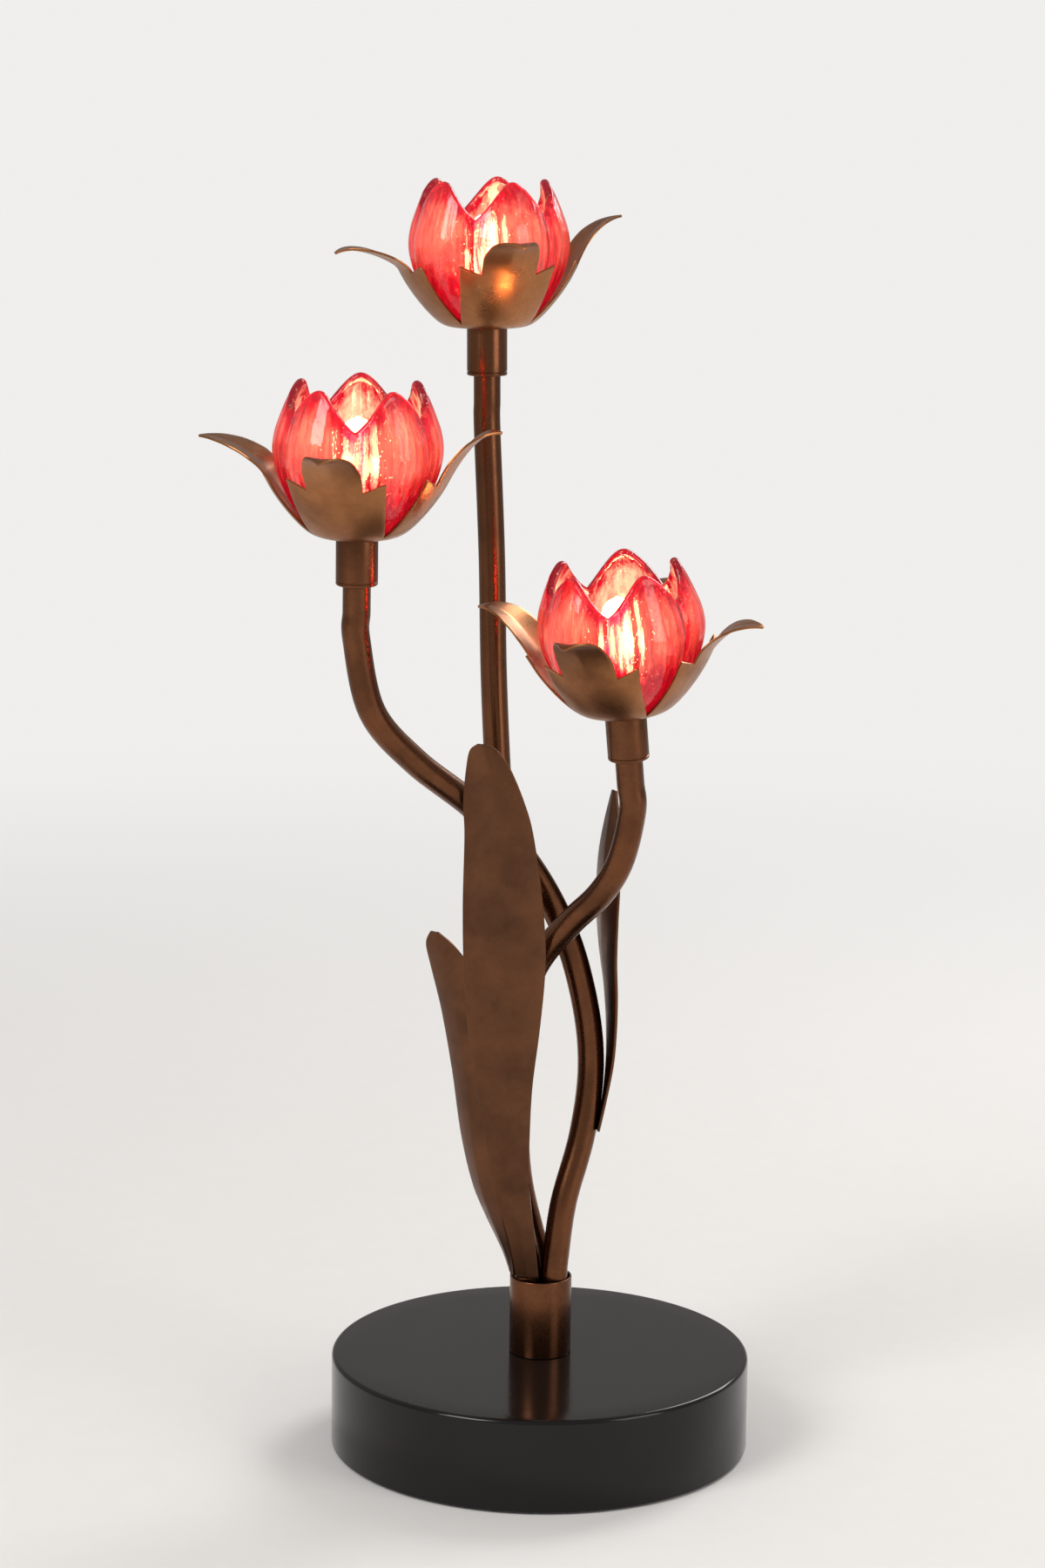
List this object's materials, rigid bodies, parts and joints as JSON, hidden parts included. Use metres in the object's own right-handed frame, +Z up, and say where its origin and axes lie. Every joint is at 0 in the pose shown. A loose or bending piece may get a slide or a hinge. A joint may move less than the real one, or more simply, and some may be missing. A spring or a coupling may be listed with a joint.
{
  "type": "table lamp",
  "caption": "Table lamp with glass tulips in flapped brass calyxes on bent bronze tube stems with sheet leaves, rising from a collar on a round black drum base.",
  "frame": {"origin": "centre of the round base on the surface it stands on", "axes": "+Z up, -Y towards the front, +X to the right seen from the front"},
  "size_m": [0.2453, 0.2384, 0.5708],
  "materials": {
    "black_gloss": "gloss black lacquer",
    "dark_bronze": "antique bronze, polished",
    "copper_brass": "satin sheet with a copper tint",
    "bright_brass": "polished",
    "red_glass": "thick ribbed glass, red to pink",
    "clear_glass": "clear",
    "glowing_core": "lit filament",
    "white_ceramic": "matte",
    "steel": "zinc plated",
    "cast_weight": "cast, painted grey",
    "white_plastic": "matte",
    "black_rubber": "matte",
    "grey_wire": "lead sheath",
    "earth_wire": "earth sheath",
    "felt": "felt"
  },
  "bodies": {
    "lamp": {"base_shell": "black_gloss", "base_weight": "cast_weight", "weight_screws": "steel", "bottom_plate": "steel", "plate_screws": "steel", "felt_pad": "felt", "cord_bushing": "black_rubber", "trunk_tube": "steel", "trunk_washer": "steel", "trunk_nut": "steel", "terminal_block": "white_plastic", "terminal_screws": "bright_brass", "block_screw": "steel", "earth_screw": "steel", "earth_lug": "bright_brass", "earth_lead": "earth_wire", "stem_collar": "dark_bronze", "top_stem": "dark_bronze", "left_stem": "dark_bronze", "right_stem": "dark_bronze", "tall_leaf": "dark_bronze", "left_leaf": "dark_bronze", "right_leaf": "dark_bronze", "top_shade": "red_glass", "top_calyx": "copper_brass", "top_socket_cup": "dark_bronze", "top_lamp_holder": "white_ceramic", "top_shade_ring": "bright_brass", "top_nipple": "steel", "top_lock_nut": "steel", "top_lead": "grey_wire", "left_shade": "red_glass", "left_calyx": "copper_brass", "left_socket_cup": "dark_bronze", "left_lamp_holder": "white_ceramic", "left_shade_ring": "bright_brass", "left_nipple": "steel", "left_lock_nut": "steel", "left_lead": "grey_wire", "right_shade": "red_glass", "right_calyx": "copper_brass", "right_socket_cup": "dark_bronze", "right_lamp_holder": "white_ceramic", "right_shade_ring": "bright_brass", "right_nipple": "steel", "right_lock_nut": "steel", "right_lead": "grey_wire"},
    "bulb_top": {"top_bulb_glass": "clear_glass", "top_bulb_core": "glowing_core", "top_bulb_base": "white_ceramic", "top_bulb_pins": "steel"},
    "bulb_left": {"left_bulb_glass": "clear_glass", "left_bulb_core": "glowing_core", "left_bulb_base": "white_ceramic", "left_bulb_pins": "steel"},
    "bulb_right": {"right_bulb_glass": "clear_glass", "right_bulb_core": "glowing_core", "right_bulb_base": "white_ceramic", "right_bulb_pins": "steel"}
  },
  "joints": [
    {"name": "pull_top_bulb", "type": "slide", "parent": "lamp", "child": "bulb_top", "axis": [-0.0105, -0.0105, 0.9999], "range_m": [0, 0.075]},
    {"name": "pull_left_bulb", "type": "slide", "parent": "lamp", "child": "bulb_left", "axis": [0.007, -0.0802, 0.9968], "range_m": [0, 0.075]},
    {"name": "pull_right_bulb", "type": "slide", "parent": "lamp", "child": "bulb_right", "axis": [-0.0883, -0.1167, 0.9892], "range_m": [0, 0.075]}
  ]
}
